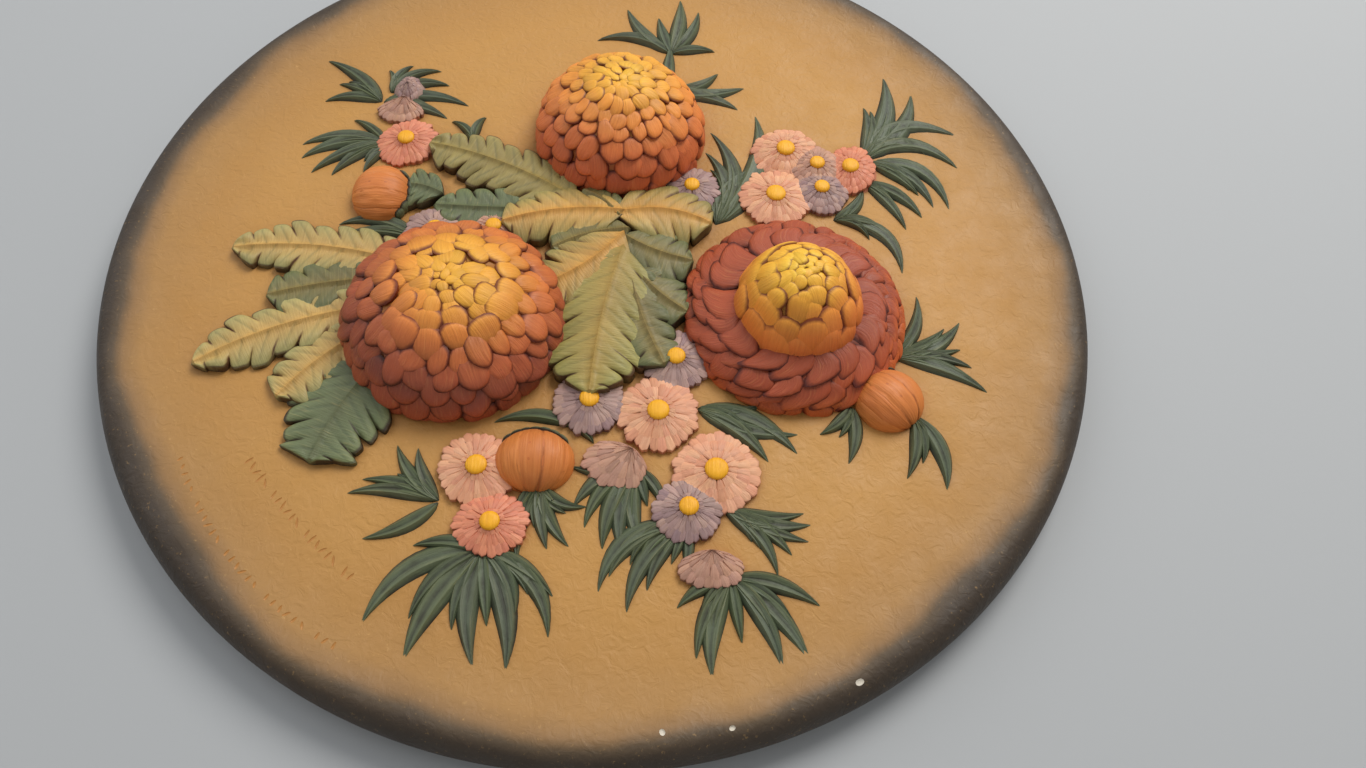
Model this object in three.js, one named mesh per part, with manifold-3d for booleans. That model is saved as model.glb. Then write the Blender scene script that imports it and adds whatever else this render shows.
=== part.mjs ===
// Decorative wall plaque: one round plaster casting with a rolled lip. Its face carries a bouquet
// in relief: three large chrysanthemums, cut leaves, daisies, round buds and sprays of blades.
//
// The plaque is modelled lying face up, with x and y across the face and z the height above the
// wall. It is then stood up: the face looks along -Y, the top of the design is +Z, and the flat
// back lies in the plane y = 0, with the origin at its centre. Lengths are in millimetres.

import * as THREE from "three";
import { mergeVertices } from "three/addons/utils/BufferGeometryUtils.js";
import Module from "manifold-3d";

const wasm = await Module();
wasm.setup();

// ---- driving dimensions ----

const DISC_RADIUS = 177.5; // the widest circle of the lip: a 14 inch plaque
const FIELD = 13; // height of the flat ground that carries the relief
const LIP_HEIGHT = 16; // height of the lip's crest
const DISC_SIDES = 72;
const ROOT = 4; // how far each raised form is sunk into what carries it

// Radius and height around the disc, from the centre of the back to the centre of the face.
const DISC_PROFILE = [
  [0, 0],
  [DISC_RADIUS - 7.5, 0],
  [DISC_RADIUS - 1.5, 4],
  [DISC_RADIUS, 9],
  [DISC_RADIUS - 1.5, 13.5],
  [DISC_RADIUS - 6, LIP_HEIGHT],
  [DISC_RADIUS - 12, LIP_HEIGHT - 0.8],
  [DISC_RADIUS - 22, FIELD + 0.5],
  [DISC_RADIUS - 34, FIELD],
  [0, FIELD],
];

// The recess in the back that a nail or hook goes into.
const POCKET = { y: 120, width: 26, height: 16, depth: 8, cornerSides: 3 };

// Each dome is a centre, a radius and a height above the field, and is covered with rings of
// petals. A ring runs to a fall between 0, the top of the dome, and 1, its foot. The number of
// petals in a ring is the last ring's, or twice as many.
const CHRYSANTHEMUMS = [
  {
    dome: { x: -52, y: -31, radius: 37, height: 28 },
    rings: [
      { petals: 8, to: 0.2 },
      { petals: 8, to: 0.4 },
      { petals: 16, to: 0.58 },
      { petals: 16, to: 0.8 },
      { petals: 16, to: 1 },
    ],
  },
  {
    dome: { x: 67, y: -24, radius: 39, height: 16 },
    rings: [
      { petals: 8, to: 0.45 },
      { petals: 16, to: 0.74 },
      { petals: 16, to: 1 },
    ],
  },
  {
    dome: { x: 67, y: -26, radius: 23, height: 32 },
    rings: [
      { petals: 6, to: 0.25 },
      { petals: 6, to: 0.48 },
      { petals: 12, to: 0.75 },
      { petals: 12, to: 1 },
    ],
  },
  {
    dome: { x: 3, y: 59, radius: 32, height: 29 },
    rings: [
      { petals: 7, to: 0.2 },
      { petals: 7, to: 0.4 },
      { petals: 14, to: 0.6 },
      { petals: 14, to: 0.8 },
      { petals: 14, to: 1 },
    ],
  },
];
const PETAL_CROWN = 2.4; // how far a petal's middle stands out from the dome
const NOTCH_SHARE = 0.35; // depth of the notch between two petal tips, as a share of the ring
const STEP_FALL = 0.02; // how steeply a ring steps down to the next one

// Lobes of the cut leaves: [root x, root y, tip x, tip y, half width, crest height].
const LEAF_LOBES = [
  [2, 18, -38, 11, 9, 9],
  [6, 8, -23, -17, 9, 10],
  [4, 4, -15, 0, 5, 10],
  [6, -2, -3, -59, 12, 9],
  [9, -4, 20, -46, 8, 8],
  [8, 2, 29, -7, 6, 8],
  [12, -10, 28, -23, 6, 7],
  [4, 16, 36, 12, 9, 8],
  [4, 14, -9, 26, 5, 8],
  [-12, 22, -69, 49, 10, 6],
  [-12, 20, -65, 24, 8, 4],
  [-80, -6, -133, -2, 8, 4],
  [-84, -18, -117, -22, 8, 4],
  [-84, -32, -136, -50, 8, 4],
  [-82, -36, -106, -61, 8, 4],
  [-76, -48, -91, -83, 12, 4],
  [-64, 26, -78, 30, 6, 5],
];
const FINGER_LENGTH = 11; // along the lobe
const NOTCH_REACH = 0.6; // how far out the notch between two fingers is, as a share of a tip

// Daisies: [x, y, radius]. Their squash is the height of an oval one, as a share of its width.
const DAISIES = [
  [-79, 51, 12],
  [-84, 67, 8],
  [-84, 80, 8],
  [-63, 8, 12],
  [-42, 10, 11],
  [31, 32, 11],
  [68, 52, 13],
  [93, 44, 13],
  [63, 29, 14],
  [81, 34, 11],
  [25, -44, 12],
  [-4, -63, 12],
  [19, -65, 14],
  [38, -87, 14],
  [27, -100, 11],
  [5, -84, 10],
  [36, -118, 9, 0.6],
  [-39, -87, 12],
  [-33, -105, 11],
];
const DAISY_PETALS = 8;
const DAISY_HEIGHT = 4.5;
const BUTTON_HEIGHT = 1.6; // of the yellow centre, above the petals
const BUTTON_SHARE = 0.27; // its radius, as a share of the daisy's

// Round buds: [x, y, half width, half height, height above the field].
const BUDS = [
  [-85, 25, 10, 13, 10],
  [-21, -83, 13, 10.5, 10],
  [98, -58, 11.5, 11.5, 10],
];

// Sprays of narrow blades: the point they grow from, then each tip as [x, y, bend].
const SPRAYS = [
  {
    x: 20,
    y: 84,
    tips: [
      [24, 138, 0.05],
      [5, 132, -0.15],
      [35, 132, 0.15],
      [-9, 111, 0.2],
      [3, 104, 0.1],
      [42, 105, -0.1],
    ],
  },
  { x: 27, y: 78, tips: [[55, 89, 0.1], [51, 73, 0.1], [43, 94, 0.1]] },
  { x: -90, y: 74, tips: [[-118, 94, 0.1], [-114, 70, 0.15], [-70, 90, -0.15], [-60, 72, -0.1]] },
  { x: -88, y: 50, tips: [[-125, 46, 0.15], [-120, 34, 0.1], [-101, 62, 0.1], [-97, 36, 0.1]] },
  { x: -70, y: 6, tips: [[-99, 10, 0.2], [-97, 2, -0.1]] },
  { x: -54, y: 54, tips: [[-64, 63, 0.1], [-50, 66, -0.1]] },
  { x: 41, y: 18, tips: [[57, 74, 0.15], [36, 64, 0.2], [38, 44, -0.1]] },
  {
    x: 98,
    y: 53,
    tips: [
      [102, 79, 0.1],
      [111, 98, 0.1],
      [123, 89, 0.1],
      [143, 56, -0.2],
      [133, 26, -0.25],
      [125, 27, -0.2],
    ],
  },
  { x: 98, y: 40, tips: [[114, 14, -0.1], [120, 22, -0.1]] },
  { x: 84, y: 20, tips: [[99, 28, -0.1], [109, -5, -0.3], [92, 26, 0.1]] },
  { x: 102, y: -38, tips: [[112, -14, 0.1], [130, -27, 0.1], [130, -43, -0.1], [134, -54, -0.1]] },
  { x: 106, y: -63, tips: [[114, -91, -0.15], [101, -87, -0.1]] },
  { x: 85, y: -60, tips: [[73, -71, -0.1], [82, -82, -0.1]] },
  { x: 32, y: -67, tips: [[55, -62, 0.1], [66, -73, 0.1], [65, -83, 0.1]] },
  { x: 45, y: -96, tips: [[70, -105, 0.1], [63, -122, -0.1]] },
  { x: 14, y: -88, tips: [[1, -117, -0.1], [0, -131, -0.1], [10, -135, -0.1], [-14, -100, 0.1]] },
  { x: -20, y: -93, tips: [[-21, -117, -0.1], [-6, -114, 0.1]] },
  {
    x: -50,
    y: -97,
    tips: [
      [-80, -95, 0.1],
      [-66, -77, -0.1],
      [-59, -78, -0.1],
      [-73, -110, -0.1],
      [-76, -90, 0.1],
    ],
  },
  {
    x: -35,
    y: -113,
    tips: [
      [-57, -112, 0.1],
      [-69, -138, 0.2],
      [-55, -149, 0.1],
      [-34, -150, 0.1],
      [-25, -151, -0.1],
      [-13, -141, -0.2],
      [-12, -128, -0.1],
    ],
  },
  {
    x: 42,
    y: -121,
    tips: [
      [25, -131, 0.1],
      [31, -147, 0.1],
      [36, -153, 0.1],
      [57, -151, -0.1],
      [66, -149, -0.1],
      [70, -130, -0.1],
    ],
  },
];
const BLADE_CROWN = 2.2;
const BLADE_STATIONS = [0.35, 0.7]; // where its two full sections are along it
const BLADE_SHARE = 0.085; // half width of a blade, as a share of its length

// ---- closed solids ----

const UP = new THREE.Vector3(0, 0, 1);

function solid(geometry) {
  geometry.deleteAttribute("normal");
  geometry.deleteAttribute("uv");
  const merged = mergeVertices(geometry, 1e-4);
  return new wasm.Manifold(
    new wasm.Mesh({
      numProp: 3,
      vertProperties: merged.attributes.position.array,
      triVerts: new Uint32Array(merged.index.array),
    }),
  );
}

function solidOfTriangles(points, triangles) {
  const geometry = new THREE.BufferGeometry().setFromPoints(points);
  return solid(geometry.setIndex(triangles.flat()));
}

// Closed rows of points stacked from a point on top to a point below. Each row runs
// counterclockwise from above, and has as many points as the row before it, or twice as many.
function stack(top, rows, bottom) {
  const points = [top, ...rows.flat(), bottom];
  const end = points.length - 1;
  const triangles = [];
  let first = 1;
  rows.forEach((row, index) => {
    const start = first;
    const count = row.length;
    const above = index ? rows[index - 1].length : 1;
    const here = (i) => start + (i % count);
    const over = (i) => start - above + (i % above);
    for (let i = 0; i < count; i++) {
      if (above === 1) {
        triangles.push([0, here(i), here(i + 1)]);
      } else if (above === count) {
        triangles.push([over(i), here(i), here(i + 1)], [over(i), here(i + 1), over(i + 1)]);
      } else {
        const mate = Math.ceil(i / 2);
        triangles.push([over(mate), here(i), here(i + 1)]);
        if (i % 2) triangles.push([over(mate - 1), here(i), over(mate)]);
      }
      if (index === rows.length - 1) triangles.push([end, here(i + 1), here(i)]);
    }
    first += count;
  });
  return solidOfTriangles(points, triangles);
}

// A profile of [radius, height] points turned around a vertical axis through the origin.
function turned(profile, sides) {
  const points = profile.map(([radius, height]) => new THREE.Vector2(radius, height));
  return new THREE.LatheGeometry(points, sides).rotateX(Math.PI / 2);
}

function around(count, pointAt) {
  return Array.from({ length: count }, (_, i) => pointAt((i / count) * 2 * Math.PI, i));
}

// ---- the disc and its hanging recess ----

function disc() {
  return solid(turned(DISC_PROFILE, DISC_SIDES));
}

function hangingPocket() {
  const { y, width, height, depth, cornerSides } = POCKET;
  const round = height / 2;
  const outline = new THREE.Shape();
  outline.absarc(width / 2 - round, y, round, -Math.PI / 2, Math.PI / 2);
  outline.absarc(round - width / 2, y, round, Math.PI / 2, (3 * Math.PI) / 2);
  const geometry = new THREE.ExtrudeGeometry(outline, {
    depth: depth + ROOT,
    curveSegments: 2 * cornerSides,
    bevelEnabled: false,
  });
  return solid(geometry.translate(0, 0, -ROOT));
}

// ---- the chrysanthemums ----

function onDome({ x, y, radius, height }, fall, turn) {
  const slope = (fall * Math.PI) / 2;
  const out = Math.sin(slope);
  const rise = Math.cos(slope);
  return {
    point: new THREE.Vector3(
      x + radius * out * Math.cos(turn),
      y + radius * out * Math.sin(turn),
      FIELD + height * rise,
    ),
    normal: new THREE.Vector3(
      (out * Math.cos(turn)) / radius,
      (out * Math.sin(turn)) / radius,
      rise / height,
    ).normalize(),
  };
}

// The domes' petals make one stepped surface. Each ring has a row along its middle and a row
// along its edge, where a petal's tip stands between two notches, and then steps down.
function chrysanthemum({ dome, rings }) {
  const onSurface = (fall, turn, lift) => {
    const { point, normal } = onDome(dome, fall, turn);
    return point.addScaledVector(normal, lift);
  };
  const rows = [];
  let from = 0;
  rings.forEach(({ petals, to }, ring) => {
    const deep = to - from;
    const row = (tipFall, notchFall, tipLift, notchLift) =>
      rows.push(
        around(2 * petals, (turn, i) =>
          (i + ring) % 2 ? onSurface(notchFall, turn, notchLift) : onSurface(tipFall, turn, tipLift),
        ),
      );
    const middle = from + 0.55 * deep;
    const notch = to - NOTCH_SHARE * deep;
    row(middle, middle, PETAL_CROWN, 0.3 * PETAL_CROWN);
    row(to, notch, 0.8 * PETAL_CROWN, 0);
    if (ring < rings.length - 1)
      row(to + STEP_FALL, notch + STEP_FALL, -0.2 * PETAL_CROWN, -0.4 * PETAL_CROWN);
    from = to;
  });
  const foot = rows.at(-1).map((point) => point.clone().setZ(FIELD - ROOT));
  const top = new THREE.Vector3(dome.x, dome.y, FIELD + dome.height);
  const bottom = new THREE.Vector3(dome.x, dome.y, FIELD - ROOT);
  return stack(top, [...rows, foot], bottom);
}

// ---- leaves, blades, daisies and buds ----

// A lobe is a crest between two scalloped edges, each with a row of finger tips and notches.
function leafLobe([rootX, rootY, tipX, tipY, halfWidth, height]) {
  const spine = new THREE.Vector2(tipX - rootX, tipY - rootY);
  const fingers = Math.max(2, Math.round(spine.length() / FINGER_LENGTH));
  const across = new THREE.Vector2(-spine.y, spine.x).normalize();
  const place = (along, aside, z) =>
    new THREE.Vector3(
      rootX + spine.x * along + across.x * aside,
      rootY + spine.y * along + across.y * aside,
      z,
    );
  const reach = (along) => halfWidth * Math.sin(Math.PI * (0.25 + 0.6 * along));
  const rim = FIELD + height * 0.4;
  const edge = (hand) => {
    const points = [place(0, hand * NOTCH_REACH * reach(0), rim)];
    for (let finger = 0; finger < fingers; finger++) {
      const tip = (finger + 0.85) / (fingers + 0.3);
      const notch = (finger + 1) / fingers;
      points.push(place(tip, hand * reach(tip), rim));
      if (finger < fingers - 1) points.push(place(notch, hand * NOTCH_REACH * reach(notch), rim));
    }
    return points;
  };
  const right = edge(-1);
  const left = edge(1);
  const outline = [...right, place(1, 0, rim), ...left.toReversed()];
  const crest = Array.from({ length: fingers + 1 }, (_, i) =>
    place(0.05 + (0.87 * i) / fingers, 0, FIELD + height * (i === fingers ? 0.7 : 1)),
  );
  const floor = outline.map((point) => point.clone().setZ(FIELD - ROOT));
  const points = [...outline, ...crest, ...floor, place(0.5, 0, FIELD - ROOT)];

  const count = outline.length;
  const leftAt = (i) => (count - 1 - i + count) % count;
  const crestAt = (i) => count + i;
  const floorAt = (i) => count + crest.length + (i % count);
  const triangles = [[crestAt(0), leftAt(0), 0]];
  for (let finger = 0; finger < fingers; finger++) {
    const notch = 2 * finger;
    const near = crestAt(finger);
    const far = crestAt(finger + 1);
    triangles.push([near, notch, notch + 1], [near, notch + 1, far], [far, notch + 1, notch + 2]);
    triangles.push([near, leftAt(notch + 1), leftAt(notch)], [near, far, leftAt(notch + 1)]);
    triangles.push([far, leftAt(notch + 2), leftAt(notch + 1)]);
  }
  for (let i = 0; i < count; i++) {
    const next = (i + 1) % count;
    triangles.push([i, floorAt(i), floorAt(next)], [i, floorAt(next), next]);
    triangles.push([points.length - 1, floorAt(next), floorAt(i)]);
  }
  return solidOfTriangles(points, triangles);
}

// A blade is a sharp ridge along a bowed path, sunk into the field.
function blade(fromX, fromY, [toX, toY, bend]) {
  const length = Math.hypot(toX - fromX, toY - fromY);
  const bowX = (toY - fromY) * bend;
  const bowY = (fromX - toX) * bend;
  const edgeHeight = FIELD - 0.4;
  const path = new THREE.QuadraticBezierCurve3(
    new THREE.Vector3(fromX, fromY, edgeHeight),
    new THREE.Vector3((fromX + toX) / 2 + bowX, (fromY + toY) / 2 + bowY, edgeHeight),
    new THREE.Vector3(toX, toY, edgeHeight),
  );
  const points = [path.getPoint(0)];
  for (const along of BLADE_STATIONS) {
    const at = path.getPoint(along);
    const side = path.getTangent(along).cross(UP).multiplyScalar(BLADE_SHARE * length);
    points.push(at.clone().sub(side));
    points.push(at.clone().addScaledVector(UP, BLADE_CROWN));
    points.push(at.clone().add(side));
    points.push(at.clone().addScaledVector(UP, -ROOT));
  }
  points.push(path.getPoint(1));
  const triangles = [];
  for (let side = 0; side < 4; side++) {
    const a = 1 + side;
    const b = 1 + ((side + 1) % 4);
    triangles.push([a, 0, b], [a, b, b + 4], [a, b + 4, a + 4], [a + 4, b + 4, 9]);
  }
  return solidOfTriangles(points, triangles);
}

// A daisy is a low cone with a scalloped edge around its button.
function daisy([x, y, radius, squash = 1]) {
  const row = (count, height, reach) =>
    around(count, (turn, i) => {
      const out = reach(i) * radius;
      return new THREE.Vector3(x + out * Math.cos(turn), y + out * squash * Math.sin(turn), height);
    });
  return stack(
    new THREE.Vector3(x, y, FIELD + DAISY_HEIGHT + BUTTON_HEIGHT),
    [
      row(DAISY_PETALS, FIELD + DAISY_HEIGHT + 0.6 * BUTTON_HEIGHT, () => 0.7 * BUTTON_SHARE),
      row(DAISY_PETALS, FIELD + DAISY_HEIGHT, () => BUTTON_SHARE),
      row(2 * DAISY_PETALS, FIELD - 0.4, (i) => (i % 2 ? 0.8 : 1)),
    ],
    new THREE.Vector3(x, y, FIELD - ROOT),
  );
}

function bud([x, y, halfWidth, halfHeight, height]) {
  const profile = [[0, FIELD - ROOT]];
  for (const slope of [0, 0.5, 1]) profile.push([Math.cos(slope), FIELD + height * Math.sin(slope)]);
  profile.push([0, FIELD + height]);
  return solid(turned(profile, 12).scale(halfWidth, halfHeight, 1).translate(x, y, 0));
}

// ---- the casting ----

function plaque() {
  const relief = [
    ...CHRYSANTHEMUMS.map(chrysanthemum),
    ...LEAF_LOBES.map(leafLobe),
    ...DAISIES.map(daisy),
    ...BUDS.map(bud),
    ...SPRAYS.flatMap(({ x, y, tips }) => tips.map((tip) => blade(x, y, tip))),
  ];
  const whole = relief.reduce((joined, form) => joined.add(form), disc());
  return whole.subtract(hangingPocket());
}

function meshOf(name, body, material) {
  const { vertProperties, triVerts } = body.getMesh();
  const geometry = new THREE.BufferGeometry()
    .setAttribute("position", new THREE.BufferAttribute(vertProperties, 3))
    .setIndex(new THREE.BufferAttribute(triVerts, 1));
  geometry.computeVertexNormals();
  const mesh = new THREE.Mesh(geometry, material);
  mesh.name = name;
  return mesh;
}

const paintedPlaster = new THREE.MeshStandardMaterial({
  color: 0xc89b5f,
  roughness: 0.5,
  metalness: 0,
});

const wallPlaque = new THREE.Group();
const casting = meshOf("plaque", plaque(), paintedPlaster);
casting.rotation.x = Math.PI / 2;
wallPlaque.add(casting);

export default wallPlaque;
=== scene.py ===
"""Decorative wall plaque: the painted plaster casting, its wall and floor, lights and camera.

The casting is modelled in face millimetres: x across the face, y up it and z above the wall.
Its parts are closed shells, each with its own paint; one boolean joins the shells of each piece, and the
disc's cuts the strokes, chips and recess from it.
"""

import math

import bpy
import numpy as np
from mathutils import Euler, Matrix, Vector

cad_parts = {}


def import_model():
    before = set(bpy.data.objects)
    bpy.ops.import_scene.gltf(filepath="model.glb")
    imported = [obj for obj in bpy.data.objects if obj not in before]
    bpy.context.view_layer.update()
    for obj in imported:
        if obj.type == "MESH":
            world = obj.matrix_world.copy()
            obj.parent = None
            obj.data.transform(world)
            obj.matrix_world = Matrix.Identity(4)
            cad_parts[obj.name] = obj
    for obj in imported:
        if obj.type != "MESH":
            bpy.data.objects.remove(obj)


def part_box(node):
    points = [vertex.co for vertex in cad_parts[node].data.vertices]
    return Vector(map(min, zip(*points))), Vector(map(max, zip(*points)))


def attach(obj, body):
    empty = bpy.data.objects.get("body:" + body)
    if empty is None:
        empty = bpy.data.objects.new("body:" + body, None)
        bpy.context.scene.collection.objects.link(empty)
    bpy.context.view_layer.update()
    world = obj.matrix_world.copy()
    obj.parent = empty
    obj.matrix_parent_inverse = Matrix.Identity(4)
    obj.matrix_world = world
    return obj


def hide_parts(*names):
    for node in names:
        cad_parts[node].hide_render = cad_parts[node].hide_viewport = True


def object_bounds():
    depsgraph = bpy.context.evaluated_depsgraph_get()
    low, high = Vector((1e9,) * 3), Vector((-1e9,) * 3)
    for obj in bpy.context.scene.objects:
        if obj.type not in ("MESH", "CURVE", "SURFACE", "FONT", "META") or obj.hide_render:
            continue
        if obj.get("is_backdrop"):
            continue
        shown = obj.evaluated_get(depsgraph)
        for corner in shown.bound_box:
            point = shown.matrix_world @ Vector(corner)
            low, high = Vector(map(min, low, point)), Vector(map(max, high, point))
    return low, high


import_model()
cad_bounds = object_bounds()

TURN = 2 * math.pi
RIGHT_ANGLE = math.pi / 2
random = np.random.default_rng(20)

# ---- sizes, in face millimetres ----

PLAQUE_LOW, PLAQUE_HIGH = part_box("plaque")
RADIUS = 177.5
MM = (PLAQUE_HIGH[0] - PLAQUE_LOW[0]) / (2 * RADIUS)  # metres to a face millimetre

FIELD = 13.0  # height of the flat ground above the wall
LIP_HEIGHT = 16.0
DISC_SIDES = 240

# Radius and height around the disc, from the centre of the back to the centre of the face.
DISC_PROFILE = [
    (RADIUS - 9.5, 0.0),
    (RADIUS - 7.5, 0.2),
    (RADIUS - 4.0, 1.9),
    (RADIUS - 1.5, 4.6),
    (RADIUS, 9.0),
    (RADIUS - 1.4, 13.0),
    (RADIUS - 4.0, 15.4),
    (RADIUS - 7.5, LIP_HEIGHT),
    (RADIUS - 12.0, LIP_HEIGHT - 0.9),
    (RADIUS - 17.0, FIELD + 1.2),
    (RADIUS - 24.0, FIELD + 0.35),
    (RADIUS - 34.0, FIELD),
]
FIELD_RINGS = [(radius, FIELD) for radius in range(130, 0, -16)]
PROFILE_STEPS = 3  # rows between two points of the profile

POCKET = {"y": 120.0, "width": 26.0, "height": 16.0, "depth": 8.0}

# Material slots of the disc
FIELD_PAINT, RELIEF_PAINT, BARE_PLASTER = range(3)


def srgb(red, green, blue):
    """A colour given as 0 to 255 values, as the linear values that Blender works in."""
    share = np.array([red, green, blue]) / 255
    return np.where(share <= 0.04045, share / 12.92, ((share + 0.055) / 1.055) ** 2.4)


def blend(stops, at):
    """A colour for each value of at, along stops of (value, colour)."""
    values = [value for value, _ in stops]
    colours = np.array([colour for _, colour in stops])
    return np.stack([np.interp(at, values, colours[:, i]) for i in range(3)], axis=-1)


# ---- palette ----

BLOOM_PAINT = {
    "left": [
        (0.0, srgb(238, 178, 56)),
        (0.2, srgb(238, 170, 58)),
        (0.36, srgb(230, 146, 60)),
        (0.52, srgb(212, 120, 66)),
        (0.68, srgb(184, 94, 60)),
        (0.86, srgb(150, 74, 58)),
        (1.0, srgb(176, 86, 58)),
    ],
    "globe": [
        (0.0, srgb(250, 200, 62)),
        (0.3, srgb(248, 184, 60)),
        (0.52, srgb(244, 158, 64)),
        (0.74, srgb(238, 136, 68)),
        (1.0, srgb(202, 102, 56)),
    ],
    "skirt": [
        (0.0, srgb(176, 84, 44)),
        (0.5, srgb(166, 76, 46)),
        (0.8, srgb(170, 78, 48)),
        (0.92, srgb(190, 90, 50)),
        (1.0, srgb(214, 108, 54)),
    ],
    "top": [
        (0.0, srgb(246, 188, 62)),
        (0.28, srgb(246, 176, 60)),
        (0.45, srgb(242, 156, 66)),
        (0.62, srgb(240, 146, 76)),
        (0.8, srgb(222, 120, 72)),
        (1.0, srgb(206, 102, 64)),
    ],
}
LEAF_PAINT = {  # below the fingers, at the midrib, halfway out, at the edge
    "tan": (srgb(112, 108, 62), srgb(212, 160, 86), srgb(182, 158, 96), srgb(142, 142, 96)),
    "moss": (srgb(76, 86, 58), srgb(156, 140, 84), srgb(150, 140, 90), srgb(168, 158, 108)),
    "lime": (srgb(112, 112, 62), srgb(174, 148, 82), srgb(158, 150, 90), srgb(172, 172, 112)),
    "sage": (srgb(84, 92, 62), srgb(134, 120, 74), srgb(114, 116, 78), srgb(104, 116, 84)),
    "straw": (srgb(108, 108, 68), srgb(206, 166, 100), srgb(186, 168, 112), srgb(166, 166, 120)),
    "dark": (srgb(64, 80, 66), srgb(102, 112, 84), srgb(106, 120, 90), srgb(126, 138, 102)),
}
BLADE_PAINT = (srgb(54, 70, 60), srgb(98, 110, 88))
DAISY_PAINT = {
    "pink": (srgb(210, 136, 116), srgb(238, 184, 158)),
    "rose": (srgb(204, 116, 98), srgb(232, 154, 130)),
    "mauve": (srgb(126, 102, 122), srgb(190, 160, 162)),
    "dusk": (srgb(156, 118, 118), srgb(212, 166, 152)),
}
BUTTON = srgb(255, 186, 18)
BUD_PAINT = (srgb(204, 116, 58), srgb(224, 138, 72))
# Brown mixed into the mound between a chrysanthemum's petals, as painted shade in the gaps
GAP_SHADE_BROWN = srgb(104, 46, 34)
STROKE_PAINT = srgb(186, 132, 68)

# ---- the bouquet's layout, as in the solid ----

# Rings: petals, start fall, end fall, half width as a share of the spacing, lift of the tip. A
# petal whose start is below its end curves in towards the middle, and the others hang.
BLOOMS = {
    "left_chrysanthemum": [
        {
            "paint": "left",
            "dome": (-52, -31, 37, 28),
            "lean": (-0.12, -0.1),
            "rings": [
                (5, 0.1, 0.0, 0.64, 0.2),
                (8, 0.19, 0.05, 0.64, 0.3),
                (11, 0.28, 0.11, 0.64, 0.5),
                (13, 0.38, 0.19, 0.63, 0.7),
                (15, 0.49, 0.28, 0.62, 1.0),
                (21, 0.4, 0.6, 0.56, 1.6),
                (21, 0.49, 0.72, 0.55, 2.2),
                (21, 0.6, 0.85, 0.54, 2.4),
                (21, 0.71, 0.96, 0.54, 2.0),
                (23, 0.83, 1.06, 0.56, 1.2),
            ],
        },
    ],
    "right_chrysanthemum": [
        {
            "paint": "skirt",
            "dome": (67, -24, 38.5, 15),
            "swirl": 1.2,
            "lean": (0.1, -0.04),
            "fine": (-0.7, 1.2),
            "rings": [
                (17, 0.28, 0.64, 0.66, 2.0),
                (21, 0.42, 0.8, 0.66, 2.3),
                (25, 0.58, 0.94, 0.66, 2.1),
                (30, 0.76, 1.06, 0.64, 1.4),
            ],
        },
        {
            "paint": "globe",
            "dome": (67, -26, 23, 32),
            "lean": (0.08, -0.1),
            "rings": [
                (5, 0.13, 0.0, 0.64, 0.2),
                (8, 0.25, 0.07, 0.64, 0.4),
                (11, 0.38, 0.16, 0.64, 0.6),
                (12, 0.54, 0.27, 0.62, 0.9),
                (13, 0.72, 0.4, 0.68, 1.1),
                (13, 0.92, 0.56, 0.7, 1.1),
            ],
        },
    ],
    "top_chrysanthemum": [
        {
            "paint": "top",
            "dome": (3, 59, 32, 29),
            "lean": (-0.06, -0.2),
            "swirl": 0.25,
            "rings": [
                (6, 0.11, 0.0, 0.64, 0.2),
                (10, 0.21, 0.06, 0.64, 0.4),
                (14, 0.31, 0.14, 0.63, 0.6),
                (18, 0.24, 0.4, 0.6, 1.0),
                (20, 0.34, 0.53, 0.6, 1.5),
                (20, 0.46, 0.66, 0.6, 1.8),
                (21, 0.58, 0.79, 0.6, 1.8),
                (22, 0.7, 0.92, 0.6, 1.5),
                (24, 0.82, 1.05, 0.6, 0.9),
            ],
        },
    ],
}

# Lobes: root x, y, tip x, y, bend, half width, crest height, paint
LEAVES = {
    "middle_leaves": [
        (-12, 20, -65, 20, -0.06, 12.2, 4.5, "dark"),
        (-12, 22, -70, 49, 0.1, 13.4, 6, "moss"),
        (4, 14, -10, 27, 0.1, 8.5, 8, "sage"),
        (8, 8, -20, 0, 0.1, 12, 8, "sage"),
        (6, 16, -39, 11, 0.1, 13.4, 8.5, "tan"),
        (2, 15, 38, 13, -0.2, 14.6, 8, "tan"),
        (5, 6, 31, -4, 0.15, 12.2, 7.5, "sage"),
        (10, -8, 29, -26, 0.15, 11, 7, "sage"),
        (8, -6, 21, -48, 0.1, 12.2, 7.5, "sage"),
        (6, 6, -24, -18, -0.15, 15.9, 9, "tan"),
        (6, 0, -4, -60, 0.06, 18.3, 9, "lime"),
        (-62, 24, -76, 29, 0.1, 9.8, 5, "dark"),
    ],
    "left_leaf": [
        (-70, -8, -134, -2, 0.12, 12.2, 4, "straw"),
        (-76, -14, -118, -22, 0.05, 12.2, 4, "sage"),
        (-78, -26, -137, -50, 0.12, 12.2, 4, "straw"),
        (-78, -34, -107, -62, 0.1, 12.2, 4, "straw"),
        (-74, -46, -92, -85, 0.1, 17.1, 4, "dark"),
    ],
}
FINGER_PITCH = 8.5
FINGER_STEPS = 12  # rows of points to a finger
FINGER_GAPS = (0.5, 0.22, 0.22)  # depths of the gaps between fingers, as shares of the half width
FINGER_REACH = np.array((0.86, 1.04, 0.92))  # of the three fingers between two deep gaps
FINGER_LEAN = 0.7  # how far a finger runs forwards for each millimetre across
LOBE_SHARES = np.array((1.0, 0.97, 0.9, 0.8, 0.68, 0.54, 0.4, 0.26, 0.14, 0.06))
LOBE_COLUMNS = np.concatenate([-LOBE_SHARES, [0.0], LOBE_SHARES[::-1]])

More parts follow.
